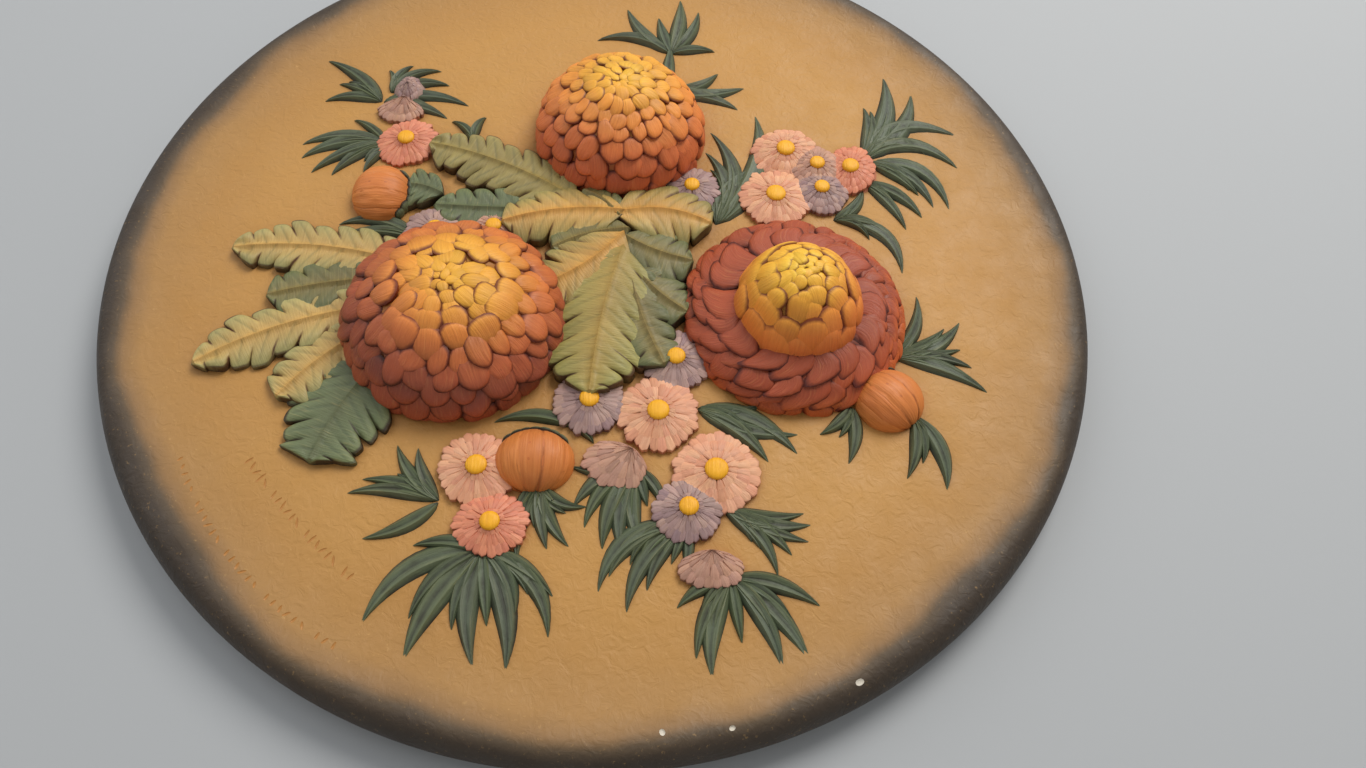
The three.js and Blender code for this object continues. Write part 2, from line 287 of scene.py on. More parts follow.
# Daisies: x, y, radius, paint, form, squash, turn of the long way, lean, and for one that shows
# its side, the way to its stem
DAISIES = {
    "left_daisies": [
        (-79, 51, 12, "rose", "open", 0.9, 0.5, (0.05, 0.05)),
        (-84, 67, 9, "dusk", "closed", 0.6, 0.0, (0, 0.05), (0.2, 0.5)),
        (-82, 79, 7, "mauve", "closed", 0.7, RIGHT_ANGLE, (0, 0.05)),
        (-63, 8, 12, "mauve", "open", 1.0, 0.0, (0, 0)),
        (-42, 10, 11, "dusk", "open", 1.0, 0.0, (0, 0)),
    ],
    "right_daisies": [
        (31, 32, 11, "mauve", "open", 1.0, 0.0, (0, 0)),
        (80, 45, 11, "dusk", "double", 1.0, 0.0, (0, 0)),
        (68, 52, 13.5, "pink", "double", 0.9, 0.4, (0, 0.05)),
        (93, 44, 12.5, "rose", "double", 0.8, 1.3, (0.12, 0)),
        (81, 33, 11, "mauve", "double", 1.0, 0.0, (0, 0)),
        (63, 29, 14, "pink", "open", 1.0, 0.0, (0, 0)),
    ],
    "lower_daisies": [
        (25, -44, 12, "mauve", "open", 1.0, 0.0, (0, 0)),
        (-4, -61, 12.5, "mauve", "open", 1.0, 0.0, (0, 0)),
        (5, -84, 11, "dusk", "closed", 0.75, -0.4, (0, 0), (0.5, 0.4)),
        (29, -99, 12, "mauve", "open", 0.95, 0.6, (0, 0)),
        (19, -65, 14, "pink", "open", 1.0, 0.0, (0, 0)),
        (38, -86, 14.5, "pink", "double", 1.0, 0.0, (0, 0)),
        (36, -119, 10.5, "dusk", "closed", 0.62, 0.0, (0, 0), (0.0, 0.5)),
        (-39, -86, 13, "pink", "open", 1.0, 0.0, (0, 0)),
        (-33, -105, 12, "rose", "open", 0.9, 0.2, (0, 0)),
    ],
}

# Buds: x, y, half width, half height, height above the field, turn towards the foot
BUDS = [
    (-85, 25, 11, 12.5, 10, 0.0),
    (-21, -83, 13, 11, 10, RIGHT_ANGLE),
    (98, -58, 12, 11.5, 10, 2.3),
]

# Sprays: the point the blades grow from, then each tip as x, y, bend
SPRAYS = {
    "upper_sprays": [
        (23, 106, [(4, 133, -0.1), (27, 140, 0.05), (35, 133, 0.1), (-9, 112, 0.2), (42, 108, -0.1)]),
        (21, 84, [(2, 105, -0.15), (5, 95, -0.1), (43, 96, 0.15),
                  (54, 88, 0.1), (51, 75, -0.1), (23, 112, 0)]),
        (-92, 73, [(-118, 95, 0.1), (-111, 82, 0.1), (-115, 72, 0.15), (-65, 65, -0.1), (-57, 72, -0.15)]),
        (-89, 78, [(-92, 91, 0.15), (-82, 94, -0.15), (-70, 91, -0.2), (-66, 83, -0.15)]),
        (-88, 52, [(-120, 49, 0.15), (-119, 42, 0.15), (-114, 35, 0.1), (-106, 34, 0.1), (-102, 63, 0.1)]),
        (-86, 50, [(-94, 36, 0.1), (-103, 40, 0.15)]),
        (-70, 6, [(-100, 11, 0.2), (-97, 7, 0.1), (-93, 2, -0.1)]),
        (-54, 54, [(-64, 64, 0.15), (-50, 67, -0.15), (-58, 58, 0.1)]),
        (40, 16, [(57, 74, 0.15), (38, 64, 0.2), (36, 53, 0.2), (57, 45, -0.15), (34, 40, 0.1)]),
        (99, 51, [(102, 80, 0.1), (112, 98, 0.12), (123, 89, 0.15), (141, 64, -0.3), (138, 47, -0.3)]),
        (101, 49, [(131, 26, -0.3), (125, 27, -0.2), (120, 33, -0.1)]),
        (98, 39, [(120, 22, -0.15), (113, 16, -0.1)]),
        (85, 20, [(98, 37, 0.15), (105, 15, -0.15), (109, -5, -0.3), (94, 29, 0.1)]),
    ],
    "lower_sprays": [
        (101, -40, [(113, -13, 0.15), (128, -24, 0.15), (122, -27, 0.1),
                    (127, -36, 0.05), (130, -44, -0.1), (134, -54, -0.1)]),
        (106, -63, [(114, -91, -0.15), (101, -87, -0.1)]),
        (85, -60, [(73, -71, -0.1), (82, -82, -0.1)]),
        (32, -62, [(55, -60, 0.1), (50, -69, -0.1), (67, -71, 0.1), (66, -79, -0.15), (56, -82, -0.1)]),
        (40, -98, [(69, -103, 0.1), (67, -99, 0.1), (68, -109, 0.05),
                   (62, -114, -0.1), (57, -121, -0.15), (52, -112, -0.1)]),
        (12, -84, [(-10, -84, -0.1), (-8, -99, 0.15), (-4, -106, 0.15), (2, -113, 0.1),
                   (8, -114, 0.1), (15, -113, 0.1), (22, -100, -0.1)]),
        (28, -104, [(1, -127, 0.25), (10, -133, 0.15), (4, -122, 0.2), (16, -126, 0.1), (27, -120, -0.1)]),
        (-19, -90, [(-24, -117, 0.1), (-15, -113, 0.05), (-8, -112, 0.1), (-26, -104, 0.1), (-3, -98, 0.2)]),
        (-8, -70, [(-36, -69, 0.15), (-2, -76, -0.1)]),
        (-50, -97, [(-80, -95, 0.1), (-66, -77, -0.1), (-59, -78, -0.1), (-73, -110, -0.1), (-76, -90, 0.1)]),
        (-35, -113, [(-57, -112, 0.1), (-69, -138, 0.2), (-55, -149, 0.1), (-34, -150, 0.1),
                     (-25, -151, -0.1), (-13, -141, -0.2), (-12, -128, -0.1)]),
        (42, -121, [(25, -131, 0.1), (31, -147, 0.1), (36, -153, 0.1),
                    (57, -151, -0.1), (66, -149, -0.1), (70, -130, -0.1)]),
    ],
}

# ---- shells: the closed forms that the pieces are joined from ----

forms = []  # the shells of the piece in hand
ROOT = 4.0  # how far a form is sunk below the surface that it stands on


def shell(points, faces, paint, groove, local, finish=RELIEF_PAINT):
    """A closed shell in face millimetres. Each point has a paint colour, a groove value from 0
    on top to 1 in the crease, and a (across, along) place on its form in millimetres."""
    first, second, third = (points[[face[i] for face in faces]] for i in range(3))
    if np.einsum("ij,ij->", first, np.cross(second, third)) < 0:
        faces = [face[::-1] for face in faces]
    mesh = bpy.data.meshes.new("form")
    mesh.from_pydata(points.tolist(), [], faces)
    corners = np.empty(len(mesh.loops), dtype=np.int32)
    mesh.loops.foreach_get("vertex_index", corners)
    colour = np.column_stack([paint, groove])
    layer = mesh.color_attributes.new("paint", "FLOAT_COLOR", "CORNER")
    layer.data.foreach_set("color", colour[corners].ravel())
    mesh.uv_layers.new(name="local").uv.foreach_set("vector", local[corners].ravel())
    marks = mesh.attributes.new("finish", "INT", "FACE")
    marks.data.foreach_set("value", np.full(len(faces), finish, dtype=np.int32))
    forms.append(bpy.data.objects.new("form", mesh))
    return forms[-1]


def ring_faces(count, rings):
    """Faces of a closed stack of rings between a first point, 0, and a last one."""
    last = 1 + count * rings
    following = [(i + 1) % count for i in range(count)]
    faces = [(0, 1 + i, 1 + following[i]) for i in range(count)]
    for ring in range(rings - 1):
        near, far = 1 + ring * count, 1 + (ring + 1) * count
        faces += [(near + i, far + i, far + following[i], near + following[i]) for i in range(count)]
    faces += [(last, last - count + following[i], last - count + i) for i in range(count)]
    return faces


def cushion(
    place,
    colours,
    size,
    crown,
    lift=0.0,
    roll=0.0,
    channel=0.0,
    blunt=0.85,
    egg=0.12,
    fullness=3.0,
    segments=18,
    rings=4,
    sink=0.0,
    wash_and_shade=1.0,
    point=0.0,
):
    """A rounded petal or leaf finger. place(across, along, height) puts its points in space:
    across runs from -1 to 1, and along from 0 at the root to 1 at the tip. colours are those of
    its root, middle and tip, and size is its half width and length. crown is its height, lift
    raises its tip, roll tips it to one side, channel sinks its middle line, a low blunt squares
    its outline, egg widens its outer end, fullness makes it flatter on top, sink lowers it,
    wash_and_shade is how dark its edge is painted, as dark crease paint and painted crease
    shade, and point sharpens its tip."""
    angle = np.arange(segments) / segments * TURN
    soft_sin = np.sign(np.sin(angle)) * np.abs(np.sin(angle)) ** blunt
    soft_cos = np.sign(np.cos(angle)) * np.abs(np.cos(angle)) ** blunt
    narrowed = 1 - point * np.clip(np.cos(angle), 0, 1) ** 2
    edge_across = soft_sin * (1 + egg * np.cos(angle)) * narrowed
    edge_along = 0.5 * soft_cos
    ring_shares = np.linspace(0, 1, rings + 1)[1:] ** 0.6
    shares = np.concatenate([ring_shares, [0.98]])
    across = np.concatenate([[0], np.outer(shares, edge_across).ravel(), [0]])
    along = 0.5 + np.concatenate([[0], np.outer(shares, edge_along).ravel(), [0]])
    share = np.concatenate([[0], np.repeat(shares, segments), [0]])
    height = crown * (1 - share**fullness) + lift * np.abs(along) ** 1.6 + roll * across - sink
    height -= channel * np.exp(-((across / 0.25) ** 2)) * (1 - share**2)
    height[-1 - segments :] = -ROOT
    points = place(across, along, height)
    # Painted crease shade with dark crease paint: the outer part of the top and the sunk foot get a groove
    # value that darkens them.
    groove = np.clip((share - 0.7) / 0.24, 0, 1) ** 1.2 * wash_and_shade
    groove[-1 - segments :] = wash_and_shade
    stops = list(zip((0.0, 0.5, 1.0), colours))
    local = np.column_stack([across * size[0], along * size[1]]) + random.uniform(0, 400, 2)
    return shell(points, ring_faces(segments, rings + 1), blend(stops, along), groove, local)


def round_map(segments, shares):
    """Rings of points around a middle one, and a last point back in the middle."""
    angle = np.arange(segments) / segments * TURN
    across = np.concatenate([[0], np.outer(shares, np.cos(angle)).ravel(), [0]])
    up = np.concatenate([[0], np.outer(shares, np.sin(angle)).ravel(), [0]])
    return across, up


def mound(place, stops, segments=32, rings=6):
    """The plain body that petals stand on. place(across, up, height) takes its flat map."""
    across, up = round_map(segments, np.concatenate([np.arange(1, rings + 1) / rings, [0.97]]))
    height = np.zeros(len(across))
    height[-1 - segments :] = -ROOT
    paint = blend(stops, np.hypot(across, up))
    points = place(across, up, height)
    return shell(points, ring_faces(segments, rings + 1), paint, 0 * height, 0 * points[:, :2])


def on_field(root, tip, bend, half_width, base=FIELD):
    """Places a form along a bowed line that lies on the field."""
    root, tip = np.array(root, dtype=float), np.array(tip, dtype=float)
    run = tip - root
    aside = np.array((run[1], -run[0]))

    def place(across, along, height):
        bow = np.outer(along, run) + np.outer(2 * bend * along * (1 - along), aside)
        heading = run + np.outer(2 * bend * (1 - 2 * along), aside)
        heading /= np.linalg.norm(heading, axis=1)[:, None]
        side = np.column_stack([-heading[:, 1], heading[:, 0]])
        flat = root + bow + side * (across * half_width)[:, None]
        return np.column_stack([flat, base + height])

    return place


def on_dome(dome):
    """Places a form on a dome by its flat map, where the distance from the middle is the fall:
    0 on top and 1 at the foot."""
    x, y, radius_x, radius_y, rise = dome

    def place(across, up, height):
        slope = np.hypot(across, up) * RIGHT_ANGLE
        turn = np.arctan2(up, across)
        unit = np.column_stack([np.sin(slope) * np.cos(turn), np.sin(slope) * np.sin(turn), np.cos(slope)])
        scale = np.array((radius_x, radius_y, rise))
        normal = unit / scale
        normal /= np.linalg.norm(normal, axis=1)[:, None]
        return np.array((x, y, FIELD)) + unit * scale + normal * np.asarray(height)[:, None]

    return place


def dome_petal(dome, turn, start, end, half_width, sway=0.0, skew=0.0):
    """Places a petal on a dome: it runs from the start fall to the end fall at one turn, bowed
    by sway and leaning over by skew."""
    surface = on_dome(dome)
    out = np.array((math.cos(turn), math.sin(turn)))
    side = np.array((-out[1], out[0]))

    def place(across, along, height):
        fall = start + (end - start) * along
        aside = across * half_width + sway * 2 * along * (1 - along) + skew * (along - 0.5)
        flat = np.outer(fall, out) + np.outer(aside, side)
        return surface(flat[:, 0], flat[:, 1], height)

    return place


def jitter(amount):
    return random.uniform(-amount, amount)


def tinted(colour, amount=0.1):
    """The colour a little lighter or darker, and warmer or colder, as a brush leaves it."""
    shift = np.array((jitter(0.4 * amount), 0.0, jitter(amount)))
    return np.clip(colour * (1 + jitter(amount) + shift), 0, 1)


# ---- chrysanthemums ----

# A petal, or the four small ones in its place: shift across and along, as shares, and size
WHOLE = [(0.0, 0.0, 1.0)]
QUARTERS = [(-0.25, -0.2, 0.55), (0.25, -0.2, 0.55), (-0.25, 0.25, 0.55), (0.25, 0.25, 0.55)]


def bloom(paint, dome, rings, lean=(0.0, 0.0), swirl=0.0, fine=None):
    """Rings of petals on a dome. lean moves the paint's middle across the flat map, swirl bows
    every petal the same way, and fine is the range of turns where each petal below the first
    ring gives way to four small ones."""
    x, y, radius, rise = dome
    oval = (x, y, radius, radius, rise)
    stops = BLOOM_PAINT[paint]
    # Painted shade in the gaps: the mound shows only between the petals, so it is painted half as bright with
    # a little brown.
    shaded = [(fall, 0.5 * colour + 0.1 * GAP_SHADE_BROWN) for fall, colour in stops]
    mound(on_dome((x, y, radius - 0.2, radius - 0.2, rise - 0.2)), shaded)
    scale = (radius * RIGHT_ANGLE, 0.5 * (radius + rise) * RIGHT_ANGLE)
    for index, (petals, start, end, share, lift) in enumerate(rings):
        spacing = TURN * max(0.04, 0.45 * start + 0.55 * end) / petals
        deep = end - start
        for petal in range(petals):
            turn = (petal + 0.5 * (index % 2) + jitter(0.22)) * TURN / petals
            small = fine and fine[0] < (turn + math.pi) % TURN - math.pi < fine[1] and index > 0
            for aside, further, size in QUARTERS if small else WHOLE:
                middle = 0.5 * (start + end) + further * deep + jitter(0.12) * abs(deep)
                half_deep = 0.5 * deep * size * (1 + jitter(0.2))
                half_width = share * spacing * size * (1 + jitter(0.18))
                here = turn + aside * TURN / petals
                bow = (swirl + jitter(0.22)) * spacing * size
                skew = jitter(0.5 if deep > 0 else 0.25) * half_deep
                place = dome_petal(oval, here, middle - half_deep, middle + half_deep, half_width, bow, skew)
                shift = lean[0] * math.cos(here) + lean[1] * math.sin(here)
                colour = tinted(blend(stops, middle + shift), 0.09)
                tip = tinted(blend(stops, end + shift), 0.05)
                length = abs(half_deep) * 2 * scale[1]
                # Each petal is painted darker at its root, where the petal above overlaps it: the paint's own
                # darker base and painted shade under the overlap.
                cushion(
                    place,
                    (0.75 * colour, colour, np.clip(1.15 * tip, 0, 1)),
                    (half_width * scale[0], length),
                    crown=min(1.5, 0.05 * length + 0.5 + 0.5 * end) * (1 + jitter(0.15)),
                    lift=lift * (0.4 + 0.6 * size) * (1 + jitter(0.4)),
                    roll=(0.5 * swirl + jitter(0.7 if deep > 0 else 0.35)) * size,
                    channel=0.35 if deep > 0 and not small else 0.0,
                    egg=0.05 if deep > 0 else 0.2,
                    fullness=4.0,
                    sink=random.uniform(0, 0.9 if deep > 0 else 0.5) * size,
                    point=random.uniform(0.1, 0.6) if deep > 0 else random.uniform(0.0, 0.3),
                )


# ---- leaves ----


def leaf_surface(root, tip, bend, half_width, height):
    """Places a form on a lobe, which slopes down like a roof from its midrib. Along the midrib
    and across from it are in millimetres."""
    length = math.dist(root, tip)
    spine = on_field(root, tip, bend, 1.0)

    def place(along, across, above):
        aside = np.clip(np.abs(across) / half_width, 0, 1.4)
        roof = height * (0.95 - 0.5 * aside**1.4 - 0.25 * np.clip(along / length, 0, 1) ** 3)
        sunk = above <= -ROOT
        return spine(across, along / length, np.where(sunk, -ROOT, roof + above))

    return place


def leaf_lobe(root_x, root_y, tip_x, tip_y, bend, half_width, height, paint):
    """A broad lobe with a thin midrib and a vein to each finger. Its fingers are one surface
    near the midrib, lean towards the tip and part along the edge."""
    root, tip = (root_x, root_y), (tip_x, tip_y)
    length = math.dist(root, tip)
    fingers = max(3, round(length / FINGER_PITCH))
    surface = leaf_surface(root, tip, bend, half_width, height)

    # Its outline. The two sides' fingers aren't opposite each other, and each third gap is deep.
    run = np.linspace(0.01, 0.985, fingers * FINGER_STEPS)[:, None]
    hand = (LOBE_COLUMNS > 0).astype(int)
    share = np.abs(LOBE_COLUMNS)
    phase = run * fingers + 5 / FINGER_STEPS * hand
    number = np.floor(phase).astype(int)
    gap = np.array(FINGER_GAPS)[np.floor(phase + 0.5).astype(int) % 3]
    phase = phase - number
    rounded = (1 - np.abs(2 * phase - 1) ** 4) ** 0.6
    tapered = np.sqrt(1 - np.clip((run - 0.78) / 0.215, 0, 0.98) ** 2)
    widest = half_width * np.sin(np.pi * (0.33 + 0.5 * run)) * tapered * FINGER_REACH[number % 3]
    aside = share * (1 - gap * (1 - run**6) * (1 - rounded))
    across = widest * aside
    along = length * run + FINGER_LEAN * (1 - run**4) * across

    # Its relief: rounded fingers, the dips and veins between and on them, and the midrib.
    outer = np.clip((aside - 0.2) / 0.5, 0, 1)
    between = np.exp(-(((0.5 - np.abs(phase - 0.5)) / 0.07) ** 2)) * np.clip((aside - 0.25) / 0.3, 0, 1)
    vein = np.exp(-(((phase - 0.5) / 0.06) ** 2)) * (aside > 0.05) * (share < 0.9)
    above = 0.85 * outer * np.sin(np.pi * phase) ** 0.6 - 0.9 * share**8 - 0.3 * between - 0.22 * vein
    above += 0.5 * np.exp(-((across / 0.6) ** 2)) - 0.35 * np.exp(-(((across - 1.7) / 0.7) ** 2))
    curl = random.uniform(-0.5, 0.9, (2, fingers + 2))[hand, number]
    above += curl * outer**2
    # The dips between fingers and the outer edge get a groove value that darkens them: dark crease paint and
    # painted crease shade.
    groove = np.maximum(between, 0.75 * (share > 0.96))

    # Its paint, from the midrib out.
    below, centre, lit, edge = LEAF_PAINT[paint]
    light = random.uniform(0.9, 1.12, (2, fingers + 2))[hand, number][:, :, None]
    colour = blend([(0.0, centre), (0.3, 0.5 * (centre + lit)), (0.6, lit), (1.0, edge)], aside) * light
    colour += 0.4 * vein[:, :, None] * (below - colour)

    # The closed shell, with a foot below each side and below the midrib.
    steps = len(run)
    foot_across = np.column_stack([across[:, :1], across, across[:, -1:], 0 * run])
    foot_across *= np.concatenate([[-1], np.where(LOBE_COLUMNS < 0, -1, 1), [1, 1]])
    foot_along = np.column_stack([along[:, :1], along, along[:, -1:], length * run])
    sunk = np.full((steps, 1), -ROOT)
    height_above = np.column_stack([sunk, above, sunk, sunk])
    dark = np.tile(below, (steps, 1, 1))
    colour = np.concatenate([dark, np.clip(colour, 0, 1), dark, dark], axis=1)
    groove = np.column_stack([1 + 0 * run, groove, 1 + 0 * run, 1 + 0 * run])
    ends_along, ends_above = np.array((-0.5, length + 0.4)), np.array((-1.0, -1.0))

    def closed(rows, first, last):
        return np.concatenate([[first], rows.reshape(-1, *rows.shape[2:]), [last]])

    points = surface(
        closed(foot_along, *ends_along),
        closed(foot_across, 0.0, 0.0),
        closed(height_above, *ends_above),
    )
    local = np.column_stack([closed(foot_along, 0, length), closed(foot_across, 0, 0)])
    local += random.uniform(0, 400, 2)
    faces = ring_faces(len(LOBE_COLUMNS) + 3, steps)
    shell(points, faces, closed(colour, below, edge), closed(groove, 1.0, 0.5), local)


def keel(root, tip, bend, half_width, crown, colours, stations=11):
    """A pointed blade with two rounded shoulders along its vein, sunk into the field."""
    along = np.linspace(0, 1, stations + 2)[1:-1]
    swell = np.sin(np.pi * along**0.75) ** 0.95
    # Across the blade: place, rise and crease. crease moves the paint towards the darker edge colour, and as
    # the groove value darkens it further as dark crease paint and painted crease shade.
    profile = [(-1.0, -0.3, 0.85), (-0.5, 0.9, 0.1), (0.0, 0.62, 0.55), (0.5, 1.0, 0.0), (1.0, -0.3, 0.85)]
    place = on_field(root, tip, bend, half_width)
    edge, ridge = colours
    rows, paint, groove, across = [], [], [], []
    for aside, rise, crease in profile:
        height = crown * rise * swell**0.6 if rise > 0 else 0 * along + rise
        rows.append(place(aside * swell, along, height))
        paint.append(edge + (ridge - edge) * (1 - crease))
        groove.append(crease)
        across.append(aside)
    rows.append(place(0 * along, along, 0 * along - ROOT))
    paint, groove, across = [*paint, edge], [*groove, 1.0], [*across, 0.0]
    ends = place(np.zeros(2), np.array((0.0, 1.0)), np.zeros(2) - 0.3)
    points = np.concatenate([ends[:1], np.stack(rows, axis=1).reshape(-1, 3), ends[1:]])
    paint = np.concatenate([[edge], np.tile(paint, (stations, 1)), [ridge]])
    groove = np.concatenate([[0.7], np.tile(groove, stations), [0.3]])
    across = np.concatenate([[0], np.tile(across, stations), [0]]) * half_width
    run = np.concatenate([[0], np.repeat(along, 6), [1]]) * math.dist(root, tip)
    local = np.column_stack([across, run]) + random.uniform(0, 400, 2)
    shell(points, ring_faces(6, stations), paint, groove, local)


WIDEST_GAP = 0.9  # the turn between two blades that still has a shorter one in it


def spray(x, y, tips):
    """Blades that spread from one point, with a shorter one between two close neighbours."""
    dark, light = BLADE_PAINT
    blades = sorted((math.atan2(tip_y - y, tip_x - x), tip_x, tip_y, bend) for tip_x, tip_y, bend in tips)
    fillers = []
    for (turn, tip_x, tip_y, bend), (next_turn, next_x, next_y, next_bend) in zip(blades, blades[1:]):
        if next_turn - turn < WIDEST_GAP:
            share = random.uniform(0.6, 0.75)
            middle_x, middle_y = 0.5 * (tip_x + next_x), 0.5 * (tip_y + next_y)
            end = (x + share * (middle_x - x), y + share * (middle_y - y))
            fillers.append((turn, *end, 0.5 * (bend + next_bend)))
    for _, tip_x, tip_y, bend in fillers + blades:
        length = math.dist((x, y), (tip_x, tip_y))
        half_width = (0.07 * length + 1.3) * (1 + jitter(0.12))
        colours = (tinted(dark, 0.12), tinted(light, 0.12))
        keel((x, y), (tip_x, tip_y), 1.8 * bend, half_width, 1.9 + jitter(0.2), colours)


# ---- daisies and buds ----

DAISY_HEIGHT = 4.5
BUTTON_SHARE = 0.27  # of the daisy's radius

# Rows of a daisy's petals, the lowest first: petals, from and to as shares of the radius, height
DAISY_ROWS = {
    "open": [(28, 0.3, 1.0, 2.2), (26, 0.2, 0.84, 2.9), (18, 0.2, 0.5, 3.6)],
    "double": [(26, 0.5, 1.0, 1.8), (23, 0.36, 0.83, 2.7), (18, 0.18, 0.62, 3.5)],
    "closed": [(20, 0.45, 1.0, 2.0), (17, 0.25, 0.78, 3.2), (11, 0.0, 0.5, 4.2)],
}


def daisy(x, y, radius, paint, form, squash, turn, lean, stem=(0, 0)):
    """Rows of narrow petals, most of them around a stippled button. squash narrows the flower
    across the direction of turn, lean raises one side of it, and its petals start towards the
    stem."""
    dark, light = DAISY_PAINT[paint]
    along_turn = np.array((math.cos(turn), math.sin(turn)))
    across_turn = np.array((-along_turn[1], along_turn[0]))

    def flat_at(reach, angle):
        """Places on the squashed flower at a distance and an angle from its middle."""
        run = reach * np.cos(angle)
        side = reach * np.sin(angle)
        shift = np.outer(radius - reach, stem)
        return np.array((x, y)) + shift + np.outer(run, along_turn) + np.outer(side * squash, across_turn)

    def ground(flat):
        return FIELD + 0.8 + lean[0] * (flat[:, 0] - x) + lean[1] * (flat[:, 1] - y)

    cone = (x, y, 0.9 * radius, 0.9 * radius * (squash if abs(turn) < 0.7 else 1.0), DAISY_HEIGHT - 1.0)
    mound(on_dome(cone), [(0.0, 0.8 * light)], segments=20, rings=3)
    for petals, start, end, rise in DAISY_ROWS[form]:
        for petal in range(petals):
            angle = (petal + 0.5 * (petals % 4 == 0) + jitter(0.2)) / petals * TURN
            half_angle = 0.66 * TURN / petals
            tip = radius * end * (1 + jitter(0.05))
            foot = radius * start

            def place(across, along, height):
                reach = foot + (tip - foot) * along
                flat = flat_at(reach, angle + across * half_angle)
                arch = rise * (1 - 0.55 * along**2)
                z = np.where(height <= -ROOT, FIELD - 3.0, ground(flat) + arch + height)
                return np.column_stack([flat, z])

            colour = tinted(dark + (light - dark) * random.uniform(0.35, 1.0), 0.05)
            cushion(
                place,
                (0.82 * colour, colour, np.clip(1.1 * colour, 0, 1)),
                (half_angle * radius * 0.8, tip - foot),
                crown=0.55,
                channel=0.15,
                egg=0.2,
                segments=10,
                rings=2,
                wash_and_shade=0.5,
            )
    if form != "closed":
        button(x, y, BUTTON_SHARE * radius, FIELD + DAISY_HEIGHT + 0.3)


def button(x, y, radius, base):
    """A low dome with a stippled top."""
    segments, rings = 14, 5
    slope = np.arange(1, rings + 1) / rings * RIGHT_ANGLE
    across, up = round_map(segments, np.concatenate([np.sin(slope), [0.97]]))
    share = np.hypot(across, up)
    sunk = np.arange(len(across)) >= len(across) - 1 - segments
    grain = 0.06 * np.cos(np.arange(len(across)) * np.pi) * (share < 0.95)
    top = base + 1.2 * np.sqrt(np.clip(1 - share**2, 0, 1)) - 0.3 * np.exp(-((share / 0.3) ** 2)) + grain
    points = np.column_stack([x + radius * across, y + radius * up, np.where(sunk, FIELD - 1.0, top)])
    shade = (1.04 - 0.08 * share)[:, None] * tinted(BUTTON, 0.03)
    groove = np.where(sunk, 0.6, 0.0)
    shell(points, ring_faces(segments, rings + 1), np.clip(shade, 0, 1), groove, points[:, :2])


def bud(x, y, half_width, half_height, height, turn):
    """A closed bud: slices run along it to a small green cup at its foot, towards turn."""
    dark, light = BUD_PAINT
    oval = (x, y, half_width, half_height, height)
    surface = on_dome(oval)
    mound(on_dome((x, y, half_width - 0.2, half_height - 0.2, height - 0.2)), [(0.0, 0.95 * dark)], 28, 6)
    foot = np.array((math.cos(turn), math.sin(turn)))
    side = np.array((-foot[1], foot[0]))
    slices = 5
    half_slice = 1.0 / slices
    for index in range(slices):
        centre = (2 * index + 1 - slices) / slices + jitter(0.05)

        def place(across, along, height):
            run = 1.02 * (1 - 2 * along)
            aside = (centre + across * half_slice * 1.2) * np.sqrt(np.clip(1.08 - run**2, 0.01, 1))
            flat = np.outer(run, foot) + np.outer(aside, side)
            return surface(flat[:, 0], flat[:, 1], height)

        colour = tinted(dark + (light - dark) * random.uniform(0.4, 1), 0.04)
        cushion(
            place,
            (0.85 * colour, colour, np.clip(1.06 * colour, 0, 1)),
            (half_slice * half_width * RIGHT_ANGLE, 2 * half_height),
            crown=0.2,
            blunt=0.7,
            egg=0.0,
            fullness=6.0,
            segments=24,
            rings=5,
            wash_and_shade=0.5,
        )
    for scale in range(7):
        aside = (scale - 3) * 0.26
        flat_turn = turn + aside
        place = dome_petal(oval, flat_turn, 1.08, 0.72 - jitter(0.06), 0.17)
        colour = tinted(BLADE_PAINT[1], 0.1)
        cushion(place, (0.7 * colour, colour, colour), (3.0, 6.0), 0.9, lift=0.6, segments=12, rings=3)


# ---- the disc, its recess, the strokes and the chips ----


def smooth_through(points, steps):
    """A smooth line through the points, with steps rows between two of them."""
    points = np.array(points)
    before = np.vstack([2 * points[0] - points[1], points, 2 * points[-1] - points[-2]])
    share = np.arange(steps)[:, None] / steps
    rows = []
    for a, b, c, d in zip(before, before[1:], before[2:], before[3:]):
        rows.append(
            b
            + 0.5 * share * (c - a)
            + share**2 * (a - 2.5 * b + 2 * c - 0.5 * d)
            + 0.5 * share**3 * (3 * b - 3 * c + d - a)
        )
    return np.vstack([*rows, points[-1:]])


def disc():
    profile = smooth_through(DISC_PROFILE + FIELD_RINGS, PROFILE_STEPS)
    angle = np.arange(DISC_SIDES) / DISC_SIDES * TURN
    rings = [
        np.column_stack([r * np.cos(angle), r * np.sin(angle), np.full(DISC_SIDES, z)])
        for r, z in profile[::-1]
    ]
    points = np.vstack([(0.0, 0.0, FIELD), *rings, (0.0, 0.0, 0.0)])
    paint = np.ones((len(points), 3))
    faces = ring_faces(DISC_SIDES, len(profile))
    casting = shell(points, faces, paint, 0 * paint[:, 0], points[:, :2], FIELD_PAINT)
    low = [max(points[list(face), 2]) < 1.0 for face in faces]
    finish = np.where(low, BARE_PLASTER, FIELD_PAINT).astype(np.int32)
    casting.data.attributes["finish"].data.foreach_set("value", finish)


